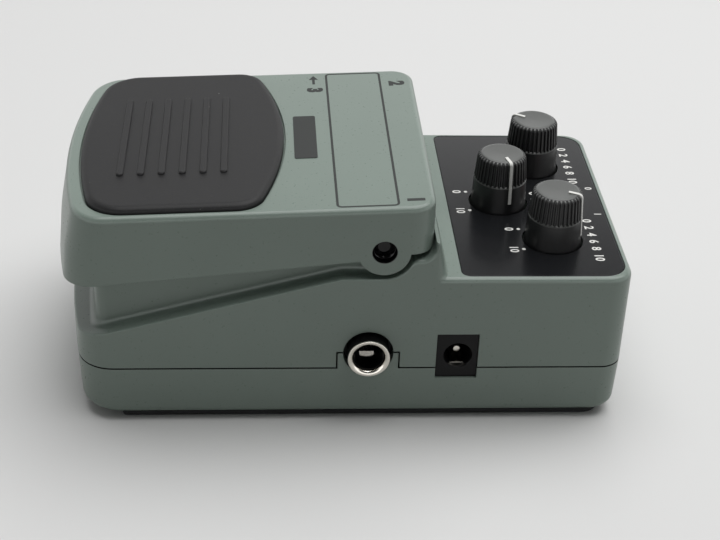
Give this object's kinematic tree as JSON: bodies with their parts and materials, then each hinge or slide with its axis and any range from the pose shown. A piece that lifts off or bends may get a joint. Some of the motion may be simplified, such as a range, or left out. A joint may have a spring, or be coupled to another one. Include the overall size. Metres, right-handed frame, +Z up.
{
  "type": "delay pedal",
  "caption": "Floor effects pedal with a sprung hinged treadle, rear console with knobs, audio sockets, power socket and a battery well under the treadle.",
  "frame": {"origin": "middle of the housing, within 0.6 mm of the middle of the box that holds the part, on the floor under the rubber mat", "axes": "+X towards the input and power sockets, +Y towards the knobs, +Z up"},
  "size_m": [0.0724, 0.1241, 0.0541],
  "materials": {
    "housing_green": "satin painted grey-green",
    "base_rubber": "matt black",
    "pad_rubber": "matt charcoal",
    "panel_black": "satin black",
    "knob_black": "satin black with a white pointer",
    "black_plastic": "semi-gloss black",
    "nickel": "bright nickel",
    "steel": "plated",
    "board_green": "solder mask",
    "chip_black": "moulded",
    "can_blue": "sleeved",
    "battery_case": "plain grey jacket",
    "foam_grey": "open foam",
    "lead_red": "vinyl",
    "lead_black": "vinyl",
    "ribbon_grey": "flat cable",
    "led_red": "clear red lens"
  },
  "bodies": {
    "housing": {"upper_shell": "housing_green", "lower_shell": "housing_green", "base_mat": "base_rubber", "housing_screw_front_left": "steel", "housing_screw_front_right": "steel", "housing_screw_rear_left": "steel", "housing_screw_rear_right": "steel", "control_panel": "panel_black", "main_board": "board_green", "board_screw_front": "steel", "board_screw_rear": "steel", "delay_chip": "chip_black", "converter_chip": "chip_black", "filter_capacitor_left": "can_blue", "filter_capacitor_right": "can_blue", "in_jack_body": "black_plastic", "in_jack_ferrule": "nickel", "in_jack_contact": "nickel", "out_jack_body": "black_plastic", "out_jack_ferrule": "nickel", "out_jack_contact": "nickel", "direct_jack_body": "black_plastic", "direct_jack_ferrule": "nickel", "direct_jack_contact": "nickel", "dc_jack_body": "black_plastic", "dc_jack_pin": "nickel", "dc_jack_contact": "nickel", "control_board": "board_green", "control_board_screw_left": "steel", "control_board_screw_right": "steel", "rate_pot_body": "steel", "level_pot_body": "steel", "intensity_pot_body": "steel", "status_led": "led_red", "board_ribbon": "ribbon_grey", "battery": "battery_case", "battery_snap": "lead_black", "battery_lead_red": "lead_red", "battery_lead_black": "lead_black", "battery_foam": "foam_grey", "footswitch_board": "board_green", "footswitch_body": "black_plastic", "footswitch_lead": "ribbon_grey", "hinge_keeper": "black_plastic", "hinge_keeper_screw": "steel", "treadle_spring": "steel", "hinge_spring_right": "steel", "hinge_spring_left": "steel"},
    "treadle": {"treadle": "housing_green", "tread_pad": "pad_rubber", "switch_actuator": "pad_rubber"},
    "hinge_pin_right": {"hinge_pin_right": "black_plastic"},
    "hinge_pin_left": {"hinge_pin_left": "black_plastic"},
    "footswitch_button": {"footswitch_button": "nickel"},
    "rate_control": {"rate_shaft": "steel", "rate_knob": "knob_black"},
    "level_control": {"level_shaft": "steel", "level_knob": "knob_black"},
    "intensity_control": {"intensity_shaft": "steel", "intensity_knob": "knob_black"}
  },
  "joints": [
    {"name": "treadle_hinge", "type": "hinge", "parent": "housing", "child": "treadle", "pos_m": [0, 0.0076, 0.0434], "axis": [1, 0, 0], "range_deg": [0, 4.5], "stiffness_Nm_per_rad": 2, "springref_deg": -11.46, "deforming": ["treadle_spring"]},
    {"name": "hinge_pin_right_slide", "type": "slide", "parent": "housing", "child": "hinge_pin_right", "axis": [-1, 0, 0], "range_m": [0, 0.0032], "stiffness_N_per_m": 300, "springref_m": -0.004, "deforming": ["hinge_spring_right"]},
    {"name": "hinge_pin_left_slide", "type": "slide", "parent": "housing", "child": "hinge_pin_left", "axis": [1, 0, 0], "range_m": [0, 0.0032], "stiffness_N_per_m": 300, "springref_m": -0.004, "deforming": ["hinge_spring_left"]},
    {"name": "footswitch_button_slide", "type": "slide", "parent": "housing", "child": "footswitch_button", "axis": [0, 0, -1], "range_m": [0, 0.0033], "stiffness_N_per_m": 100, "springref_m": -0.002},
    {"name": "rate_knob_turn", "type": "hinge", "parent": "housing", "child": "rate_control", "pos_m": [-0.017, 0.0462, 0.0427], "axis": [0, 0, 1], "range_deg": [-296, 0]},
    {"name": "level_knob_turn", "type": "hinge", "parent": "housing", "child": "level_control", "pos_m": [0, 0.0363, 0.0427], "axis": [0, 0, 1], "range_deg": [-73, 223]},
    {"name": "intensity_knob_turn", "type": "hinge", "parent": "housing", "child": "intensity_control", "pos_m": [0.017, 0.0462, 0.0427], "axis": [0, 0, 1], "range_deg": [-122, 174]}
  ],
  "couplings": [
    {"joint": "footswitch_button_slide", "follows": "treadle_hinge", "m_per_rad": 0.0406}
  ]
}
